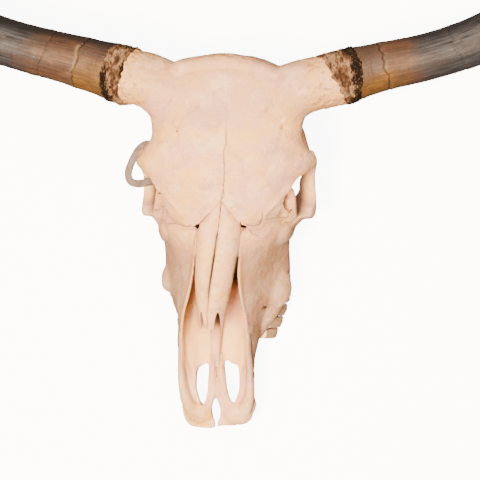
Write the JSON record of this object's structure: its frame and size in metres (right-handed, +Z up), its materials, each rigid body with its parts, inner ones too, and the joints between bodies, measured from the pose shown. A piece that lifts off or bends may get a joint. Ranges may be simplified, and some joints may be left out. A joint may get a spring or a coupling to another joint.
{
  "type": "bull skull",
  "caption": "Life-size bull skull with long horns, open nose and eye sockets, resting on its upper cheek teeth; with a pale band round its right eye bar.",
  "frame": {"origin": "on the resting plane, in the middle of the skull's box", "axes": "+X across, to the animal's own left along the horns; +Y from the nose to the poll; +Z up through the forehead"},
  "size_m": [1.0142, 0.684, 0.2437],
  "materials": {
    "bone": "dry bleached bone, matt, with brown in the hollows",
    "pale_bone": "thin bleached bone, matt and paler",
    "horn": "natural keratin horn, satin, grey outside and amber brown by the collar",
    "crust": "dried, flaking horn base and skin, matt brown",
    "band": "pale, slightly dirty flat strapping"
  },
  "bodies": {
    "root": {"braincase": "bone", "frontal_left": "bone", "frontal_right": "bone", "horn_collar_left": "crust", "horn_collar_right": "crust", "horn_left": "horn", "horn_right": "horn", "lacrimal_left": "bone", "lacrimal_right": "bone", "maxilla_left": "bone", "maxilla_right": "bone", "nasal_left": "pale_bone", "nasal_right": "pale_bone", "occipital": "bone", "premaxilla_left": "pale_bone", "premaxilla_right": "pale_bone", "temporal_left": "bone", "temporal_right": "bone", "tie_band": "band", "vomer": "pale_bone", "zygomatic_left": "bone", "zygomatic_right": "bone"}
  },
  "joints": []
}
